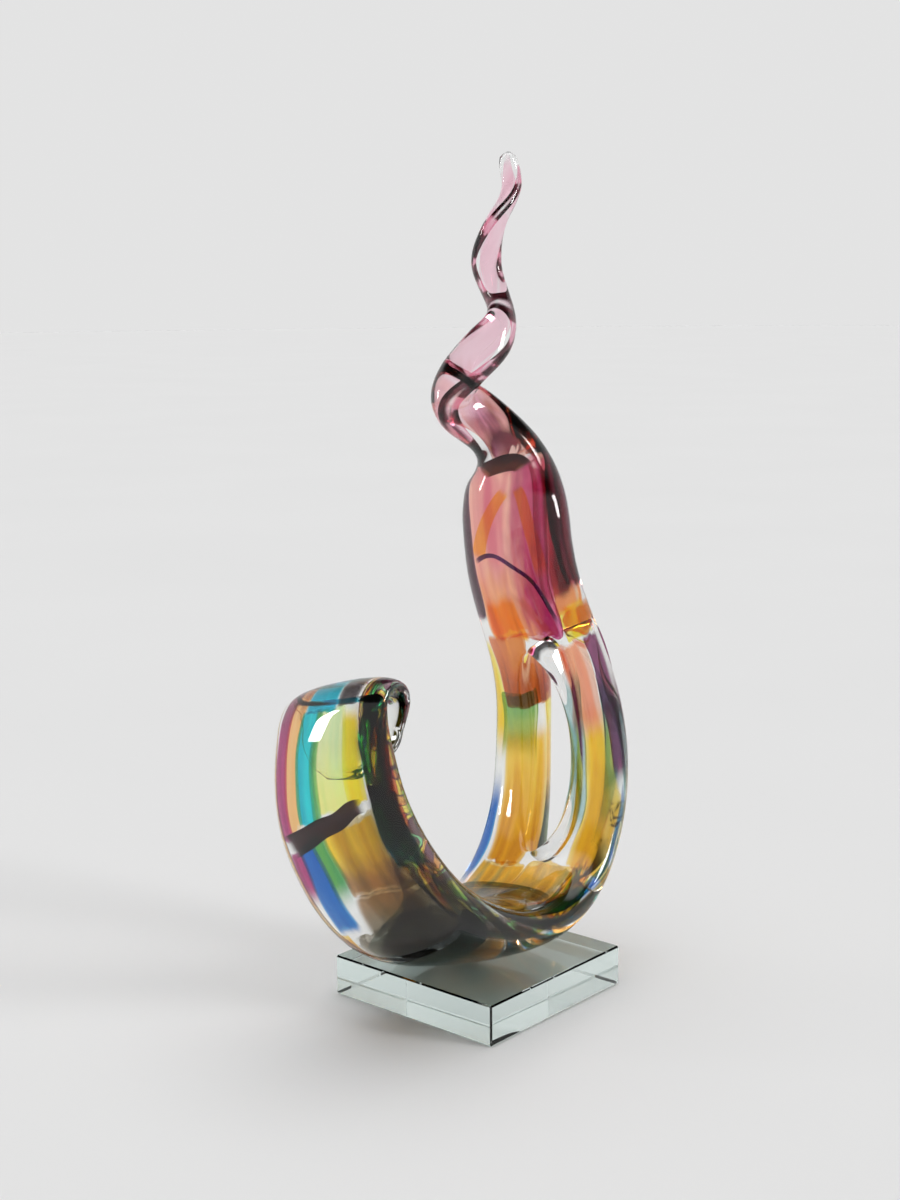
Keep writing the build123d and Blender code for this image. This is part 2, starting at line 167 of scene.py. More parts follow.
def subdivided(ob, level, fit=0):
    """Gives ob the subdivided surface as its own mesh. With fit, the cage is
    pushed out first until the surface passes through the cage's points."""
    me = ob.data
    n = len(me.vertices)
    want = np.zeros(n * 3)
    me.vertices.foreach_get("co", want)
    mod = ob.modifiers.new("smooth", "SUBSURF")
    mod.levels = mod.render_levels = level
    mod.use_limit_surface = True
    for _ in range(fit):
        mod.levels = 1
        bpy.context.view_layer.update()
        ev = ob.evaluated_get(bpy.context.evaluated_depsgraph_get())
        got = np.zeros(len(ev.data.vertices) * 3)
        ev.data.vertices.foreach_get("co", got)
        cage = np.zeros(n * 3)
        me.vertices.foreach_get("co", cage)
        me.vertices.foreach_set("co", cage + (want - got[:n * 3]))
        me.update()
    mod.levels = level
    bpy.context.view_layer.update()
    dg = bpy.context.evaluated_depsgraph_get()
    new = bpy.data.meshes.new_from_object(ob.evaluated_get(dg))
    ob.modifiers.clear()
    ob.data = new
    new.shade_smooth()
    return ob


AROUND = 24


def section_point(fr, a, b):
    return fr[0] + fr[2] * a + fr[3] * b


def build_casing():
    verts, flow, faces = [], [], []

    def add(fr, a, b, i):
        verts.append(section_point(fr, a, b))
        flow.append((run_at(i) * MM, 2 * a / fr[4], 2 * b / max(fr[5], 1e-6)))
        return len(verts) - 1

    rings = []
    steps = [k / 2 for k in range(2 * N_ST - 1)]
    for i in steps:
        fr = frame_at(i)
        w, t, n = fr[4], fr[5], fr[6]
        inside = SLOT_FROM < i < SLOT_TO
        ends = abs(i - SLOT_FROM) < 1e-6 or abs(i - SLOT_TO) < 1e-6
        g = e = 0.0
        if inside:
            q = (2 * i - SLOT_FROM - SLOT_TO) / (SLOT_TO - SLOT_FROM)
            o = math.sqrt(max(0.0, 1 - q * q))
            g, e = SLOT_HALF * o, SLOT_FLARE * o
        ring = {}
        for k in range(AROUND):
            s = 2 * math.pi * k / AROUND
            a = power(math.cos(s), 2 / n) * w / 2
            b = power(math.sin(s), 2 / n) * t / 2
            if k in (6, 18):
                a = 0.0
            if inside and k in (6, 18):
                for side, sgn in (("far", 1), ("near", -1)):
                    aa = sgn * (g + e)
                    bb = math.copysign(t / 2 * (1 - abs(2 * aa / w) ** n) ** (1 / n), b)
                    ring[k, side] = add(fr, aa, bb, i)
            elif inside:
                sgn = 1 if a >= 0 else -1
                aa = sgn * ((g + e) + abs(a) * (w / 2 - g - e) / (w / 2))
                aa = max(-w / 2, min(w / 2, aa))
                bb = math.copysign(t / 2 * max(0.0, 1 - abs(2 * aa / w) ** n) ** (1 / n), b) if k not in (0, 12) else 0.0
                ring[k] = add(fr, aa, bb, i)
            else:
                ring[k] = add(fr, a, b, i)
        if inside or ends:
            for side, sgn in (("far", 1), ("near", -1)):
                for row, share in enumerate((0.5, 0.0, -0.5)):
                    if ends and side == "near":
                        ring["wall", side, row] = ring["wall", "far", row]
                    else:
                        ring["wall", side, row] = add(fr, sgn * (g + e * share * share), share * t / 2, i)
        rings.append((i, inside, ring))

    def pick(ring, k, side):
        k %= AROUND
        return ring[k, side] if (k, side) in ring else ring[k]

    for (i0, in0, r0), (i1, in1, r1) in zip(rings, rings[1:]):
        for k in range(AROUND):
            mid = k + 0.5
            side = "far" if (mid < 6 or mid > 18) else "near"
            quad = [pick(r0, k, side), pick(r0, k + 1, side), pick(r1, k + 1, side), pick(r1, k, side)]
            faces.append(quad)
        if in0 or in1:
            for side in ("far", "near"):
                col0 = [pick(r0, 6, side)] + [r0["wall", side, j] for j in range(3)] + [pick(r0, 18, side)]
                col1 = [pick(r1, 6, side)] + [r1["wall", side, j] for j in range(3)] + [pick(r1, 18, side)]
                for j in range(4):
                    faces.append([col0[j], col0[j + 1], col1[j + 1], col1[j]])
    for ring in (rings[0][2], rings[-1][2]):
        for k in range(AROUND // 2):
            quad = [ring[k], ring[(k + 1) % AROUND], ring[(AROUND - k - 1) % AROUND], ring[(AROUND - k) % AROUND]]
            quad = list(dict.fromkeys(quad))
            if len(quad) > 2:
                faces.append(quad)
    ob = make_mesh("visual_casing", verts, faces, flow)
    subdivided(ob, 3, fit=4)
    co = np.zeros(len(ob.data.vertices) * 3)
    ob.data.vertices.foreach_get("co", co)
    co = co.reshape(-1, 3)
    co[:, 2] = np.maximum(co[:, 2], FLAT_Z * MM)
    ob.data.vertices.foreach_set("co", co.ravel())
    ob.data.update()
    return ob


def drift(i, f):
    """How the hot colour wandered: the same shift for every ribbon."""
    if i > 24.5:
        return i, f
    r = run_at(i)
    ease = max(0.0, 1 - f * f) ** 0.5
    f2 = f + ease * (0.030 * math.sin(r / 13.0 + 2.0 * f) + 0.018 * math.sin(r / 5.7 + 4.0 * f + 1.0))
    i2 = i + 0.07 * math.sin(5.0 * f + r / 31.0) + 0.035 * math.sin(13.0 * f + r / 17.0)
    return i2, f2


def set_vectors(ob, name, values):
    at = ob.data.attributes.new(name, "FLOAT_VECTOR", "POINT")
    at.data.foreach_set("vector", np.asarray(values, np.float32).ravel())


def build_inlay(name, rows, soft=(0.1, 0.1, 0.2), around=16, level=2):
    """Closed ribbon through rows of station, share across, depth, half width, half depth.
    soft: how far its colour thins out at its start, at its end and at its sides."""
    verts, flow, cell, faces = [], [], [], []
    r0, r1 = run_at(rows[0][0]), run_at(rows[-1][0])
    for i, f, b, ha, hb in rows:
        w = frame_at(i)[4]
        for k in range(around):
            s = 2 * math.pi * k / around
            i2, f2 = drift(i, f + power(math.cos(s), 0.7) * ha * 2 / w)
            fr = frame_at(i2)
            a1, b1 = f2 * fr[4] / 2, b + power(math.sin(s), 0.7) * hb
            verts.append(section_point(fr, a1, b1))
            flow.append((run_at(i) * MM, a1 * MM, b1 * MM))
            cell.append(((run_at(i) - r0) / (r1 - r0), power(math.cos(s), 0.7), power(math.sin(s), 0.7)))
    for j in range(len(rows) - 1):
        for k in range(around):
            k2 = (k + 1) % around
            faces.append([j * around + k, j * around + k2, (j + 1) * around + k2, (j + 1) * around + k])
    for j in (0, len(rows) - 1):
        for k in range(around // 2):
            quad = [j * around + k, j * around + (k + 1) % around,
                    j * around + (around - k - 1) % around, j * around + (around - k) % around]
            quad = list(dict.fromkeys(quad))
            if len(quad) > 2:
                faces.append(quad)
    ob = make_mesh("visual_" + name, verts, faces, flow)
    set_vectors(ob, "cell", cell)
    set_vectors(ob, "soft", [soft] * len(verts))
    return subdivided(ob, level)


def sheet(i0, i1, f0, f1, b=0.0, h=0.2, steps=15, g0=None, g1=None, c=None, k=None, ends=0.9, spread=0.85,
          pre=1.2, post=1.2):
    """Rows of a ribbon from station i0 to i1 that reaches across the width from
    share f0 to f1 (to g0 and g1 at its end), at depth share b, half depth share h
    (c and k at its end), with rounded ends. The colour runs on into the parting, by
    pre and post at its ends and by spread at its sides, as the real glass does."""
    rows = []
    i0, i1 = i0 - pre / station_step(i0), i1 + post / station_step(i1)
    g0, g1 = (f0 if g0 is None else g0), (f1 if g1 is None else g1)
    c, k = (b if c is None else c), (h if k is None else k)
    for j in range(steps):
        s = (1 - math.cos(math.pi * j / (steps - 1))) / 2
        i = station_between(i0, i1, s)
        fr = frame_at(i)
        full = ends + (1 - ends) * (1 - abs(2 * s - 1) ** 4) ** 0.5
        lo, hi = f0 + (g0 - f0) * s, f1 + (g1 - f1) * s
        half = max(0.5, abs(lo - hi) / 2 * fr[4] / 2 + spread)
        rows.append((i, (lo + hi) / 2, (b + (c - b) * s) * fr[5] / 2, half * full,
                     (h + (k - h) * s) * fr[5] / 2 * full))
    return rows


def tip_rows(i0, i1, steps, share_w, share_t, offset):
    rows = []
    for j in range(steps):
        s = j / (steps - 1)
        i = station_between(i0, i1, s)
        fr = frame_at(i)
        full = min(1.0, (0.75 if s < 0.5 else 0.3) + 3.0 * math.sin(math.pi * s))
        rows.append((i, offset, 0.0, share_w * fr[4] / 2 * full, share_t * fr[5] / 2 * full))
    return rows


def build_thread(name, points, r, flat=1.0, taper=0.0, around=12):
    pts = np.array(points, float)
    mom = spline_moments(np.arange(len(pts), dtype=float), pts)
    at, normals, run = [], [], []
    for k in range(3 * (len(pts) - 1) + 1):
        x = k / 3
        j = min(int(x), len(pts) - 2)
        p, q = j + 1 - x, x - j
        i, f, b = p * pts[j] + q * pts[j + 1] + ((p**3 - p) * mom[j] + (q**3 - q) * mom[j + 1]) / 6
        fr = frame_at(i)
        at.append(section_point(fr, f * fr[4] / 2, b))
        normals.append(fr[3])
        run.append(run_at(i))
    verts, flow, faces = [], [], []
    for j, p in enumerate(at):
        d = at[min(j + 1, len(at) - 1)] - at[max(j - 1, 0)]
        d /= np.linalg.norm(d)
        side = np.cross(normals[j], d)
        side /= np.linalg.norm(side)
        up = np.cross(d, side)
        wide = r * flat * (1 - taper * j / (len(at) - 1))
        for k in range(around):
            s = 2 * math.pi * k / around
            verts.append(p + side * (math.cos(s) * wide) + up * (math.sin(s) * r))
            flow.append((run[j] * MM, math.cos(s) * r * MM, math.sin(s) * r * MM))
    for j in range(len(at) - 1):
        for k in range(around):
            k2 = (k + 1) % around
            faces.append([j * around + k, j * around + k2, (j + 1) * around + k2, (j + 1) * around + k])
    for j in (0, len(at) - 1):
        faces.append([j * around + k for k in range(around)])
    ob = make_mesh("visual_" + name, verts, faces, flow)
    set_vectors(ob, "cell", [(j / (len(at) - 1), 0.0, 0.0) for j in range(len(at)) for _ in range(around)])
    set_vectors(ob, "soft", [(0.12, 0.12, 0.1)] * len(verts))
    return subdivided(ob, 2)


INLAYS = {
    # crest of the curl
    "cyan_cap": (sheet(3.6, 6.45, 0.38, -0.24, -0.42, 0.17, spread=1.6), (0.10, 0.02, 0.25)),
    "smoke_cap": (sheet(3.6, 6.45, -0.27, -0.61, -0.42, 0.17, spread=1.2), (0.10, 0.02, 0.25)),
    # front layer of the curl, from the far edge to the near edge
    "magenta_ribbon": (sheet(4.0, 9.0, 0.82, 0.64, -0.40, 0.17, steps=18, spread=1.2, post=3.0), (0.10, 0.02, 0.15)),
    "apricot_ribbon": (sheet(3.8, 8.96, 0.62, 0.42, -0.42, 0.17, steps=18, spread=1.6, post=3.0), (0.06, 0.02, 0.18)),
    "cyan_ribbon": (sheet(6.58, 8.92, 0.39, 0.14, -0.42, 0.17, g0=0.40, g1=0.20, spread=1.8, post=3.0), (0.02, 0.02, 0.22)),
    "green_thread": (sheet(6.58, 8.90, 0.11, 0.06, -0.42, 0.17, g0=0.17, g1=0.11, spread=1.6, post=3.0), (0.03, 0.03, 0.6)),
    "lime_ribbon": (sheet(6.58, 8.76, 0.03, -0.39, -0.42, 0.17, g0=0.08, spread=2.2, post=3.6), (0.02, 0.02, 0.18)),
    "yellow_ribbon": (sheet(6.6, 8.78, -0.41, -0.62, -0.42, 0.17, spread=1.8, post=3.4), (0.20, 0.02, 0.3)),
    # plum_ribbon is painted shade: this near-black sheet along the near side stands in for shade there, not for dark
    # glass
    "plum_ribbon": (sheet(3.6, 16.2, -0.65, -0.88, 0.0, 0.60, steps=40, c=0.30, k=0.26), (0.02, 0.05, 0.04)),
    # core of the sweep, behind the front layer
    "olive_core": (sheet(9.15, 11.55, 0.12, -0.62, 0.12, 0.30, spread=1.5), (0.02, 0.05, 0.3)),
    # lower sweep
    "magenta_trail": (sheet(9.58, 10.6, 0.80, 0.62, -0.40, 0.17, g1=0.72, spread=1.6, pre=3.4), (0.02, 0.4, 0.25)),
    "cobalt_ribbon": (sheet(9.52, 11.3, 0.59, 0.38, -0.42, 0.17, g0=0.70, g1=0.42, spread=2.2, pre=3.4), (0.02, 0.12, 0.25)),
    "green_trail": (sheet(9.40, 10.9, 0.34, 0.13, -0.42, 0.17, g0=0.38, g1=0.20, spread=2.2, pre=2.8), (0.02, 0.40, 0.35)),
    "amber_ribbon": (sheet(9.36, 10.75, 0.10, -0.62, -0.42, 0.17, g0=0.16, spread=1.8, pre=3.4), (0.02, 0.06, 0.1)),
    "smoke_veil": (sheet(10.82, 11.58, 0.16, -0.62, -0.42, 0.17, g0=0.36, spread=1.8), (0.05, 0.03, 0.25)),
    "smoke_core": (sheet(11.65, 14.55, 0.70, -0.62, 0.0, 0.46, steps=21, spread=1.2), (0.02, 0.06, 0.2)),
    "amber_rim": (sheet(11.42, 13.0, 0.88, 0.66, -0.34, 0.18), (0.03, 0.3, 0.06)),
    "amber_saddle": (sheet(14.62, 15.86, 0.74, 0.08, 0.05, 0.40), (0.04, 0.03, 0.03)),
    "amber_saddle_near": (sheet(14.62, 15.86, 0.04, -0.62, 0.05, 0.40), (0.04, 0.03, 0.03)),
    # far leg
    "navy_trail": (sheet(15.2, 17.6, 0.93, 0.80, 0.25, 0.26), (0.2, 0.3, 0.2)),
    "far_leg_amber": (sheet(15.95, 18.35, 0.78, 0.24, -0.34, 0.28, g1=0.36, spread=1.0), (0.02, 0.15, 0.2)),
    "far_leg_green": (sheet(17.75, 19.0, 0.78, 0.36, 0.34, 0.28), (0.35, 0.02, 0.04)),
    "far_leg_ember": (sheet(18.72, 20.05, 0.78, 0.36, -0.34, 0.28, g1=0.24), (0.02, 0.04, 0.04)),
    "far_leg_gold": (sheet(17.7, 20.0, 0.93, 0.80, 0.05, 0.34, spread=1.0), (0.3, 0.05, 0.3)),
    # near leg
    "near_leg_teal": (sheet(16.4, 19.6, -0.30, -0.38, 0.0, 0.40, steps=17), (0.15, 0.15, 0.2)),
    "near_leg_amber": (sheet(15.95, 18.9, -0.40, -0.78, -0.30, 0.26, steps=17, g1=-0.64, spread=1.2), (0.02, 0.25, 0.25)),
    "near_leg_coral": (sheet(18.2, 20.05, -0.40, -0.78, 0.32, 0.24, spread=1.0), (0.3, 0.03, 0.2)),
    "near_leg_plum": (sheet(17.4, 20.05, -0.80, -0.92, -0.30, 0.28, steps=17, g0=-0.66, spread=1.0), (0.15, 0.03, 0.25)),
    "olive_edge": (sheet(16.4, 17.3, -0.81, -0.92, 0.0, 0.34), (0.2, 0.2, 0.1)),
    # shoulder
    "rose_core": (sheet(20.14, 24.2, 0.67, -0.43, -0.07, 0.48, steps=19), (0.01, 0.03, 0.03)),
    # plum_flank: magenta glass, and towards the near edge a near-black painted shade for the shoulder's dark edge
    "plum_flank": (sheet(20.9, 24.1, -0.47, -0.92, 0.0, 0.40, steps=17, spread=1.2), (0.08, 0.03, 0.15)),
    # plum_flank_far: a near-black sheet along the shoulder's far edge, painted shade for its dark edge
    "plum_flank_far": (sheet(20.45, 23.75, 0.92, 0.71, 0.0, 0.36, steps=19), (0.05, 0.03, 0.04)),
    "amber_knot": (sheet(20.15, 20.95, 0.52, -0.06, 0.62, 0.13), (0.08, 0.30, 0.10)),
    "near_leg_gold": (sheet(20.12, 20.78, -0.62, -0.92, 0.15, 0.30), (0.08, 0.15, 0.10)),
    # tip
    "rose_strand": (tip_rows(24.3, 37.8, 32, 0.56, 0.74, -0.18), (0.005, 0.03, 0.03)),
    "magenta_thread": (tip_rows(24.7, 36.8, 44, 0.17, 0.42, 0.70), (0.01, 0.01, 0.05)),
}
THREADS = {
    "plum_fold": ([(9.32, 0.80, -5.0), (9.26, 0.58, -5.4), (9.20, 0.35, -5.6), (9.12, 0.10, -5.6),
                   (9.10, -0.15, -5.6), (8.96, -0.38, -5.4), (8.98, -0.58, -5.2)], 1.7, 3.5, 0.45),
    "amber_vein_far": ([(21.62, 0.50, 9.4), (21.85, 0.44, 10.0), (22.15, 0.34, 10.6),
                        (22.5, 0.22, 11.2), (22.9, 0.06, 11.4), (23.3, -0.10, 11.4)], 1.6, 2.6, 0.4),
    "amber_vein_near": ([(21.3, -0.64, 9.4), (21.8, -0.60, 10.0), (22.3, -0.54, 10.5),
                         (22.8, -0.47, 10.9), (23.2, -0.40, 11.2), (23.5, -0.32, 11.4)], 1.4, 2.8, 0.3),
    "violet_trail": ([(21.58, 0.55, 12.75), (21.72, 0.36, 14.8), (21.78, 0.08, 15.6),
                      (21.60, -0.22, 15.0), (21.35, -0.48, 13.2), (20.90, -0.62, 11.6),
                      (20.45, -0.70, 10.4)], 1.0, 1.3, 0.2),
    "cream_trail": ([(20.98, -0.14, 10.4), (20.80, -0.24, 10.6), (20.60, -0.35, 10.4),
                     (20.40, -0.44, 10.0), (20.22, -0.50, 9.6)], 1.3, 1.8, 0.3),
    "plum_collar": ([(24.10, 0.58, 7.0), (24.36, 0.42, 8.2), (24.48, 0.14, 9.2),
                     (24.48, -0.16, 9.2), (24.36, -0.38, 8.2), (24.15, -0.46, 7.4)], 2.0, 2.1, -0.3),
}


# ---- materials --------------------------------------------------------------
class Graph:
    def __init__(self, tree):
        self.tree = tree
        tree.nodes.clear()

    def node(self, kind, **props):
        n = self.tree.nodes.new(kind)
        for key, value in props.items():
            setattr(n, key, value)
        return n

    def link(self, a, b):
        self.tree.links.new(a, b)


def new_material(name):
    m = bpy.data.materials.new(name)
    m.use_nodes = True
    g = Graph(m.node_tree)
    out = g.node("ShaderNodeOutputMaterial")
    bsdf = g.node("ShaderNodeBsdfPrincipled")
    g.link(bsdf.outputs["BSDF"], out.inputs["Surface"])
    return m, g, bsdf, out


def streaks(g, scale, noise_scale=1.0, detail=2.0, distortion=0.0):
    """Noise drawn out along the flow of the glass."""
    at = g.node("ShaderNodeAttribute", attribute_name="flow")
    mp = g.node("ShaderNodeMapping")
    mp.inputs["Scale"].default_value = scale
    g.link(at.outputs["Vector"], mp.inputs["Vector"])
    nz = g.node("ShaderNodeTexNoise")
    nz.inputs["Scale"].default_value = noise_scale
    nz.inputs["Detail"].default_value = detail
    nz.inputs["Distortion"].default_value = distortion
    g.link(mp.outputs["Vector"], nz.inputs["Vector"])
    return nz.outputs["Fac"]


def ramp(g, fac, stops):
    r = g.node("ShaderNodeValToRGB")
    el = r.color_ramp.elements
    while len(el) > len(stops):
        el.remove(el[-1])
    while len(el) < len(stops):
        el.new(0.5)
    for e, (pos, col) in zip(el, stops):
        e.position = pos
        e.color = (*col, 1.0)
    g.link(fac, r.inputs["Fac"])
    return r.outputs["Color"]


def math_node(g, operation, *values, clamp=False):
    n = g.node("ShaderNodeMath", operation=operation, use_clamp=clamp)
    for k, v in enumerate(values):
        if isinstance(v, (int, float)):
            n.inputs[k].default_value = v
        else:
            g.link(v, n.inputs[k])
    return n.outputs["Value"]


def split(g, attribute):
    at = g.node("ShaderNodeAttribute", attribute_name=attribute)
    sep = g.node("ShaderNodeSeparateXYZ")
    g.link(at.outputs["Vector"], sep.inputs["Vector"])
    return sep.outputs["X"], sep.outputs["Y"], sep.outputs["Z"]


def blend(g, fac, a, b, kind="MIX"):
    n = g.node("ShaderNodeMix", data_type="RGBA", blend_type=kind)
    for k, v in ((0, fac), (6, a), (7, b)):
        if isinstance(v, (int, float)):
            n.inputs[k].default_value = v
        elif isinstance(v, tuple):
            n.inputs[k].default_value = (*v, 1.0)
        else:
            g.link(v, n.inputs[k])
    return n.outputs[2]


def eased(g, value, width):
    """0 at value 0, 1 from width on, smooth between."""
    n = g.node("ShaderNodeMapRange", interpolation_type="SMOOTHSTEP")
    g.link(value, n.inputs["Value"])
    n.inputs["From Min"].default_value = 0.0
    g.link(width, n.inputs["From Max"])
    return n.outputs["Result"]


def colour_glass(name, stops, to=None, lines=(), reach=(0.12, 0.88), side=None, scale=(7, 110, 110), detail=1.5, distortion=0.8):
    """Coloured glass fused into clear glass: no step in refraction at its skin.
    The colour thins out towards the ends and sides of its ribbon. to: the colours
    at the ribbon's end, blended over reach; side: colours towards its near side;
    lines: level, half width, colour and scale of drawn-out lines."""
    m, g, bsdf, _ = new_material(name)
    noise = streaks(g, scale, 1.0, detail, distortion)
    colour = ramp(g, noise, stops)
    u, v, _d = split(g, "cell")
    wobble = math_node(g, "SUBTRACT", streaks(g, (60, 240, 120), 1.0, 1.0, 0.4), 0.5)
    if to is not None:
        n = g.node("ShaderNodeMapRange", interpolation_type="SMOOTHSTEP")
        g.link(math_node(g, "MULTIPLY_ADD", wobble, 0.5, u), n.inputs["Value"])
        n.inputs["From Min"].default_value = reach[0]
        n.inputs["From Max"].default_value = reach[1]
        colour = blend(g, n.outputs["Result"], colour, ramp(g, noise, to))
    if side is not None:
        n = g.node("ShaderNodeMapRange", interpolation_type="SMOOTHSTEP")
        g.link(math_node(g, "MULTIPLY_ADD", wobble, 0.8, v), n.inputs["Value"])
        n.inputs["From Min"].default_value = 0.05
        n.inputs["From Max"].default_value = -0.75
        colour = blend(g, n.outputs["Result"], colour, ramp(g, noise, side))
    for level, half, ink, line_scale in lines:
        fine = streaks(g, line_scale, 1.0, 2.0, 1.2)
        off = math_node(g, "ABSOLUTE", math_node(g, "SUBTRACT", fine, level))
        n = g.node("ShaderNodeMapRange", interpolation_type="SMOOTHSTEP")
        g.link(off, n.inputs["Value"])
        n.inputs["From Min"].default_value = half
        n.inputs["From Max"].default_value = half * 0.4
        colour = blend(g, n.outputs["Result"], colour, ink)
    s0, s1, sides = split(g, "soft")
    along = math_node(g, "MULTIPLY_ADD", wobble, 0.10, u)
    start = eased(g, along, s0)
    end = eased(g, math_node(g, "SUBTRACT", 1.0, along), s1)
    edge = eased(g, math_node(g, "SUBTRACT", 1.0, math_node(g, "ABSOLUTE", v)), sides)
    full = math_node(g, "MULTIPLY", math_node(g, "MULTIPLY", start, end), edge)
    g.link(blend(g, full, (0.98, 0.985, 0.98), colour), bsdf.inputs["Base Color"])
    bsdf.inputs["Transmission Weight"].default_value = 1.0
    bsdf.inputs["IOR"].default_value = 1.0
    bsdf.inputs["Roughness"].default_value = 0.0
    return m


def clear_glass(name, stops, ior, bump=0.0):
    m, g, bsdf, _ = new_material(name)
    g.link(ramp(g, streaks(g, (6, 2, 2), 1.0), stops), bsdf.inputs["Base Color"])
    bsdf.inputs["Transmission Weight"].default_value = 1.0
    bsdf.inputs["IOR"].default_value = ior
    bsdf.inputs["Roughness"].default_value = 0.0
    return m


COLOURS = {
    "magenta": [(0.30, (0.34, 0.015, 0.12)), (0.52, (0.55, 0.06, 0.26)), (0.72, (0.16, 0.004, 0.03))],
    "apricot": [(0.30, (1.0, 0.52, 0.17)), (0.52, (1.0, 0.64, 0.28)), (0.72, (0.98, 0.38, 0.09))],
    "cyan": [(0.30, (0.01, 0.48, 0.62)), (0.52, (0.03, 0.74, 0.80)), (0.72, (0.01, 0.40, 0.42))],
    "green": [(0.30, (0.02, 0.36, 0.14)), (0.70, (0.22, 0.52, 0.08))],
    "lime": [(0.28, (0.84, 0.98, 0.50)), (0.50, (0.97, 0.98, 0.48)), (0.72, (0.60, 0.90, 0.42))],
    "yellow": [(0.30, (1.0, 0.88, 0.04)), (0.70, (0.98, 0.62, 0.02))],
    "plum": [(0.34, (0.03, 0.004, 0.014)), (0.56, (0.13, 0.012, 0.06)), (0.66, (0.03, 0.004, 0.012)),
             (0.72, (0.75, 0.34, 0.02))],
    "cobalt": [(0.30, (0.005, 0.10, 0.50)), (0.70, (0.02, 0.28, 0.70))],
    "amber": [(0.26, (0.98, 0.36, 0.01)), (0.48, (1.0, 0.58, 0.04)), (0.72, (0.66, 0.14, 0.005))],
    "smoke": [(0.30, (0.26, 0.22, 0.16)), (0.52, (0.42, 0.36, 0.25)), (0.74, (0.12, 0.10, 0.075))],
    "teal": [(0.30, (0.10, 0.32, 0.36)), (0.70, (0.30, 0.52, 0.52))],
    "ember": [(0.28, (0.62, 0.09, 0.01)), (0.52, (0.90, 0.30, 0.02)), (0.74, (0.26, 0.02, 0.005))],
    "rose": [(0.28, (0.96, 0.34, 0.20)), (0.52, (1.0, 0.48, 0.28)), (0.74, (0.70, 0.12, 0.16))],
    "violet": [(0.30, (0.20, 0.06, 0.36)), (0.70, (0.10, 0.04, 0.24))],
    "pink": [(0.28, (0.98, 0.58, 0.70)), (0.52, (1.0, 0.74, 0.82)), (0.74, (0.70, 0.20, 0.38))],
    "straw": [(0.28, (1.0, 0.95, 0.78)), (0.72, (0.96, 0.86, 0.62))],
    "olive": [(0.28, (0.80, 0.62, 0.36)), (0.52, (0.56, 0.46, 0.26)), (0.74, (0.90, 0.66, 0.30))],
}
MATERIALS = {slot: colour_glass("glass_" + slot, stops) for slot, stops in COLOURS.items()}
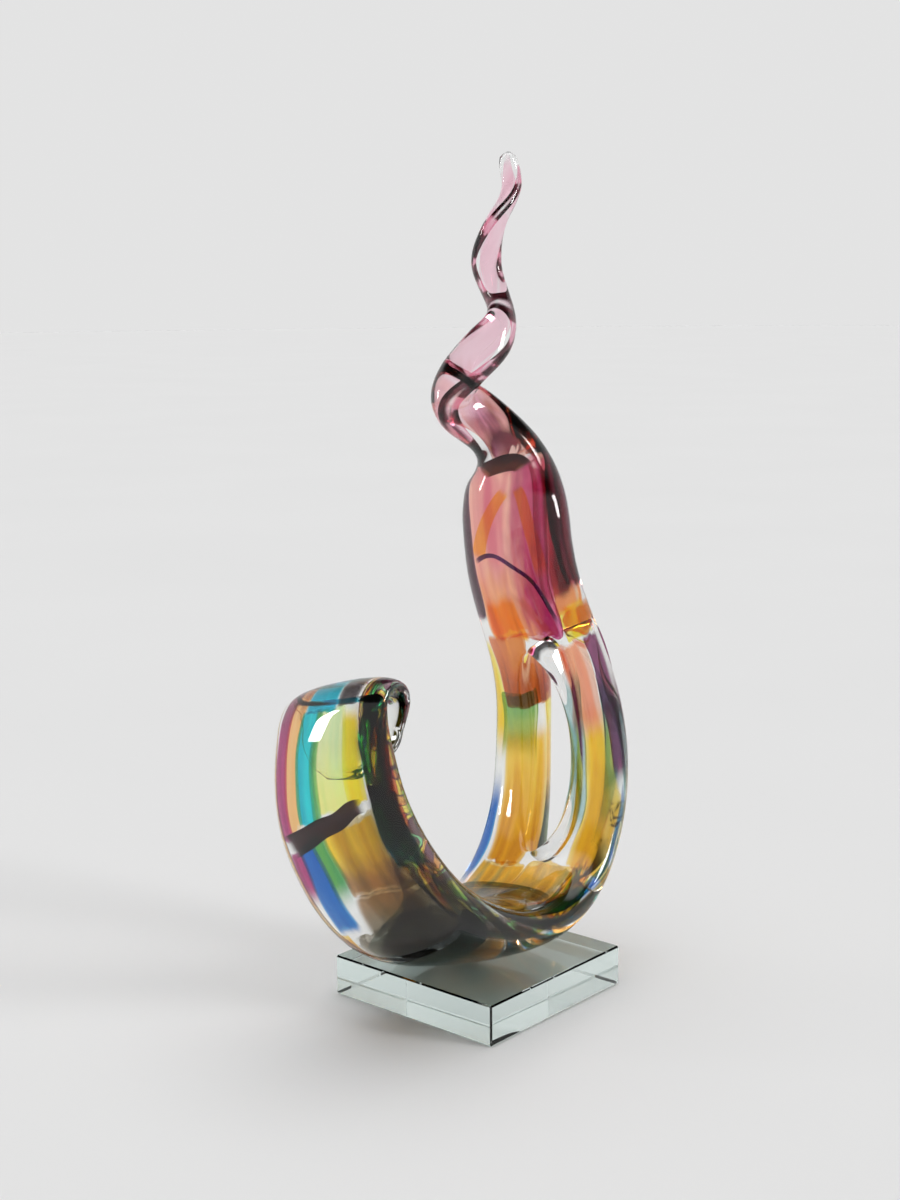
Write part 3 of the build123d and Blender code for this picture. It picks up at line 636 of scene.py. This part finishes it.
# ribbons whose colour changes along them or carries drawn-out lines
SPECIAL = {
    "apricot_ribbon": dict(stops=[(0.3, (0.62, 0.22, 0.06)), (0.7, (0.40, 0.14, 0.08))], to=COLOURS["apricot"], reach=(0.10, 0.42)),
    "cyan_cap": dict(stops=[(0.30, (0.02, 0.36, 0.52)), (0.55, (0.01, 0.50, 0.66)), (0.74, (0.01, 0.30, 0.36))]),
    "smoke_cap": dict(stops=[(0.30, (0.10, 0.09, 0.09)), (0.70, (0.22, 0.18, 0.20))]),
    "magenta_ribbon": dict(stops=[(0.3, (0.34, 0.16, 0.20)), (0.7, (0.20, 0.08, 0.10))], to=COLOURS["magenta"], reach=(0.10, 0.45)),
    "lime_ribbon": dict(stops=[(0.28, (0.62, 0.92, 0.52)), (0.50, (0.94, 0.98, 0.55)), (0.72, (0.55, 0.88, 0.50))],
                        to=[(0.28, (0.90, 0.98, 0.30)), (0.50, (0.99, 0.96, 0.34)), (0.72, (0.70, 0.90, 0.26))]),
    # plum_ribbon: near-black painted shade, dark brown towards its end in the trough; its yellow, green and orange
    # lines are painted reflections
    "plum_ribbon": dict(stops=[(0.34, (0.02, 0.006, 0.012)), (0.56, (0.07, 0.012, 0.03)), (0.72, (0.03, 0.006, 0.012))],
                        to=[(0.3, (0.03, 0.024, 0.02)), (0.7, (0.06, 0.04, 0.03))],
                        lines=[(0.47, 0.040, (1.0, 0.72, 0.03), (24, 150, 80)), (0.57, 0.022, (0.10, 0.60, 0.16), (24, 150, 80)),
                               (0.40, 0.024, (0.85, 0.20, 0.02), (24, 150, 80))]),
    "amber_ribbon": dict(stops=[(0.26, (1.0, 0.80, 0.10)), (0.48, (1.0, 0.66, 0.05)), (0.72, (0.96, 0.46, 0.02))],
                         to=[(0.26, (0.52, 0.26, 0.10)), (0.50, (0.40, 0.22, 0.10)), (0.72, (0.28, 0.15, 0.07))], reach=(0.25, 0.85)),
    "far_leg_amber": dict(stops=[(0.26, (0.66, 0.24, 0.03)), (0.48, (0.90, 0.42, 0.03)), (0.72, (0.52, 0.14, 0.02))],
                          to=[(0.26, (1.0, 0.60, 0.05)), (0.48, (1.0, 0.70, 0.12)), (0.72, (0.96, 0.44, 0.02))]),
    "near_leg_amber": dict(stops=[(0.26, (0.62, 0.22, 0.03)), (0.48, (0.94, 0.52, 0.03)), (0.72, (0.55, 0.16, 0.02))],
                           to=[(0.26, (1.0, 0.66, 0.03)), (0.48, (1.0, 0.76, 0.06)), (0.72, (0.98, 0.44, 0.02))]),
    "far_leg_green": dict(stops=[(0.26, (0.62, 0.62, 0.14)), (0.70, (0.50, 0.52, 0.08))],
                          to=[(0.26, (0.06, 0.36, 0.22)), (0.50, (0.34, 0.56, 0.10)), (0.72, (0.05, 0.28, 0.20))]),
    "far_leg_ember": dict(stops=[(0.26, (0.26, 0.03, 0.01)), (0.50, (0.62, 0.12, 0.02)), (0.72, (0.10, 0.012, 0.008))],
                          to=[(0.26, (0.94, 0.36, 0.06)), (0.70, (0.66, 0.16, 0.08))]),
    "rose_core": dict(stops=[(0.28, (0.92, 0.28, 0.10)), (0.52, (0.98, 0.40, 0.14)), (0.74, (0.66, 0.12, 0.10))],
                      to=[(0.28, (0.96, 0.36, 0.31)), (0.52, (1.0, 0.54, 0.43)), (0.74, (0.78, 0.18, 0.25))],
                      reach=(0.05, 0.55), side=[(0.30, (0.50, 0.03, 0.14)), (0.70, (0.34, 0.02, 0.10))]),
    "amber_saddle": dict(stops=[(0.28, (0.14, 0.08, 0.04)), (0.50, (0.62, 0.30, 0.06)), (0.74, (0.12, 0.16, 0.12))],
                         to=[(0.28, (0.50, 0.22, 0.04)), (0.52, (0.96, 0.52, 0.06)), (0.74, (0.34, 0.36, 0.20))], scale=(14, 100, 100)),
    "plum_fold": dict(stops=[(0.30, (0.02, 0.010, 0.008)), (0.60, (0.05, 0.012, 0.016)), (0.70, (0.30, 0.20, 0.03))]),
    "plum_collar": dict(stops=[(0.30, (0.02, 0.006, 0.008)), (0.60, (0.05, 0.010, 0.012)), (0.72, (0.30, 0.12, 0.02))]),
    # magenta is the glass's own colour; the side colours, near-black towards the near edge, are painted shade
    "plum_flank": dict(stops=[(0.30, (0.34, 0.02, 0.09)), (0.52, (0.50, 0.05, 0.14)), (0.72, (0.12, 0.008, 0.03))],
                       side=[(0.30, (0.02, 0.004, 0.010)), (0.52, (0.07, 0.008, 0.03)), (0.72, (0.02, 0.004, 0.008))]),
    "rose_strand": dict(stops=[(0.30, (0.46, 0.06, 0.10)), (0.52, (0.92, 0.40, 0.30)), (0.72, (0.10, 0.008, 0.02))],
                        to=COLOURS["pink"], reach=(0.04, 0.34), scale=(16, 60, 60)),
    "smoke_veil": dict(stops=[(0.30, (0.34, 0.20, 0.10)), (0.52, (0.40, 0.24, 0.12)), (0.74, (0.20, 0.12, 0.06))],
                       to=[(0.30, (0.24, 0.20, 0.14)), (0.52, (0.30, 0.25, 0.17)), (0.74, (0.14, 0.11, 0.08))]),
    "amber_vein_far": dict(stops=[(0.30, (1.0, 0.90, 0.26)), (0.70, (1.0, 0.74, 0.16))]),
    "amber_vein_near": dict(stops=[(0.30, (1.0, 0.90, 0.26)), (0.70, (1.0, 0.74, 0.16))]),
    # plum_flank_far: near-black painted shade for the shoulder's dark far edge
    "plum_flank_far": dict(stops=[(0.30, (0.02, 0.004, 0.010)), (0.52, (0.08, 0.008, 0.03)), (0.72, (0.02, 0.004, 0.008))]),
    "magenta_thread": dict(stops=[(0.47, (0.02, 0.004, 0.006)), (0.52, (0.06, 0.008, 0.012)), (0.55, (0.86, 0.42, 0.54))],
                           scale=(46, 40, 40)),
    "smoke_core": dict(stops=[(0.30, (0.20, 0.17, 0.12)), (0.52, (0.27, 0.23, 0.16)), (0.74, (0.10, 0.085, 0.065))],
                       to=[(0.30, (0.20, 0.15, 0.10)), (0.52, (0.34, 0.22, 0.12)), (0.74, (0.08, 0.05, 0.04))]),
    "olive_edge": dict(stops=[(0.30, (0.60, 0.48, 0.14)), (0.52, (0.86, 0.74, 0.34)), (0.74, (0.10, 0.18, 0.10))],
                       lines=[(0.55, 0.03, (0.05, 0.04, 0.02), (60, 160, 90))]),
}
SPECIAL["amber_saddle_near"] = SPECIAL["amber_saddle"]
SLOT_OF = {p["node"]: p["material_slot"] for p in frame["record"]["subparts"]}

casing = build_casing()
casing.data.materials.clear()
casing.data.materials.append(clear_glass("glass_clear", [(0.3, (0.965, 0.985, 0.98)), (0.7, (0.99, 0.995, 0.99))], 1.48))
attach(casing, "root")
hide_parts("casing")

for name, (rows, soft) in INLAYS.items():
    ob = build_inlay(name, rows, soft)
    ob.data.materials.clear()
    ob.data.materials.append(colour_glass("glass_" + name, **SPECIAL[name]) if name in SPECIAL
                             else MATERIALS[SLOT_OF[name]])
    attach(ob, "root")
    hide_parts(name)
for name, (points, *size) in THREADS.items():
    ob = build_thread(name, points, *size)
    ob.data.materials.clear()
    ob.data.materials.append(colour_glass("glass_" + name, **SPECIAL[name]) if name in SPECIAL
                             else MATERIALS[SLOT_OF[name]])
    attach(ob, "root")
    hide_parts(name)


def object_glass(name, stops, ior, scale):
    m, g, bsdf, out = new_material(name)
    tc = g.node("ShaderNodeTexCoord")
    nz = g.node("ShaderNodeTexNoise")
    nz.inputs["Scale"].default_value = scale
    g.link(tc.outputs["Object"], nz.inputs["Vector"])
    g.link(ramp(g, nz.outputs["Fac"], stops), bsdf.inputs["Base Color"])
    bsdf.inputs["Transmission Weight"].default_value = 1.0
    bsdf.inputs["IOR"].default_value = ior
    bsdf.inputs["Roughness"].default_value = 0.0
    return m, g, out


m, g, out = object_glass("glass_plinth", [(0.3, (0.80, 0.92, 0.89)), (0.7, (0.85, 0.945, 0.915))], 1.5, 12)
nodes["plinth"].data.materials.clear()
nodes["plinth"].data.materials.append(m)
m, g, out = object_glass("bond", [(0.3, (0.96, 0.97, 0.97)), (0.7, (0.98, 0.985, 0.98))], 1.0, 40)
nodes["bond_film"].data.materials.clear()
nodes["bond_film"].data.materials.append(m)

# ---- floor, light, camera -----------------------------------------------------
bm = bmesh.new()
bmesh.ops.create_circle(bm, cap_ends=True, segments=96, radius=12.0)
me = bpy.data.meshes.new("floor")
bm.to_mesh(me)
bm.free()
floor = bpy.data.objects.new("floor", me)
scene.collection.objects.link(floor)
floor.location.z = -0.0004
fm, g, bsdf, _ = new_material("floor_paper")
tc = g.node("ShaderNodeTexCoord")
nz = g.node("ShaderNodeTexNoise")
nz.inputs["Scale"].default_value = 3.0
g.link(tc.outputs["Object"], nz.inputs["Vector"])
g.link(ramp(g, nz.outputs["Fac"], [(0.3, (0.77, 0.77, 0.77)), (0.7, (0.78, 0.78, 0.78))]), bsdf.inputs["Base Color"])
bsdf.inputs["Roughness"].default_value = 1.0
bsdf.inputs["Specular IOR Level"].default_value = 0.0
floor.data.materials.append(fm)

world = bpy.data.worlds.new("studio")
scene.world = world
world.use_nodes = True
g = Graph(world.node_tree)
wout = g.node("ShaderNodeOutputWorld")
bg = g.node("ShaderNodeBackground")
tc = g.node("ShaderNodeTexCoord")
sep = g.node("ShaderNodeSeparateXYZ")
g.link(tc.outputs["Generated"], sep.inputs["Vector"])
sky = ramp(g, sep.outputs["Z"], [(0.0, (0.77,) * 3), (0.36, (0.77,) * 3), (0.50, (0.05,) * 3),
                                 (0.78, (0.05,) * 3), (0.90, (2.3,) * 3)])
RIGHT = Vector((0.65701854, -0.75382633, -0.00851541))
UP = Vector((0.13856963, 0.10965577, 0.98426321))
FWD = Vector((0.74102976, 0.64785915, -0.17650331))
CAM = Vector((-0.647449, -0.549468, 0.349022))
flat_right = Vector((RIGHT.x, RIGHT.y, 0)).normalized()
flat_fwd = Vector((FWD.x, FWD.y, 0)).normalized()


def softbox(light, angle, elevation, half_w, half_h, level):
    """Adds a soft-edged bright panel to the studio, at an angle from the
    camera's side of the object, left positive."""
    a, e = math.radians(angle), math.radians(elevation)
    flat = -flat_fwd * math.cos(a) - flat_right * math.sin(a)
    c = flat * math.cos(e) + Vector((0, 0, math.sin(e)))
    r = Vector((0, 0, 1)).cross(c).normalized()
    u = c.cross(r)

    def share(axis, low, high, fold):
        d = g.node("ShaderNodeVectorMath", operation="DOT_PRODUCT")
        g.link(tc.outputs["Generated"], d.inputs[0])
        d.inputs[1].default_value = axis
        v = d.outputs["Value"]
        if fold:
            m = g.node("ShaderNodeMath", operation="ABSOLUTE")
            g.link(v, m.inputs[0])
            v = m.outputs["Value"]
        mr = g.node("ShaderNodeMapRange", interpolation_type="SMOOTHSTEP")
        g.link(v, mr.inputs["Value"])
        mr.inputs["From Min"].default_value = low
        mr.inputs["From Max"].default_value = high
        mr.inputs["To Min"].default_value = 1.0 if fold else 0.0
        mr.inputs["To Max"].default_value = 0.0 if fold else 1.0
        return mr.outputs["Result"]

    v = share(c, 0.0, 0.1, False)
    for axis, half in ((r, half_w), (u, half_h)):
        m = g.node("ShaderNodeMath", operation="MULTIPLY")
        g.link(v, m.inputs[0])
        g.link(share(axis, half * 0.85, half * 1.05, True), m.inputs[1])
        v = m.outputs["Value"]
    m = g.node("ShaderNodeVectorMath", operation="SCALE")
    m.inputs[0].default_value = (level, level, level)
    g.link(v, m.inputs["Scale"])
    add = g.node("ShaderNodeVectorMath", operation="ADD")
    g.link(light, add.inputs[0])
    g.link(m.outputs["Vector"], add.inputs[1])
    return add.outputs["Vector"]


sky = softbox(sky, 99, 6, 0.035, 0.12, 26.0)
sky = softbox(sky, -70, 12, 0.12, 0.20, 24.0)
g.link(sky, bg.inputs["Color"])
bg.inputs["Strength"].default_value = 1.0
g.link(bg.outputs["Background"], wout.inputs["Surface"])


cd = bpy.data.cameras.new("camera")
cd.sensor_fit = "AUTO"
cd.sensor_width = 36.0
cd.lens = 54.0
cd.clip_start, cd.clip_end = 0.01, 100.0
cam = bpy.data.objects.new("camera", cd)
scene.collection.objects.link(cam)
rot = Matrix((RIGHT, UP, -FWD)).transposed()
cam.matrix_world = Matrix.Translation(CAM) @ rot.to_4x4()
scene.camera = cam

scene.view_settings.view_transform = "Standard"
scene.cycles.max_bounces = 48
scene.cycles.transmission_bounces = 48
scene.cycles.transparent_max_bounces = 32
scene.cycles.glossy_bounces = 12
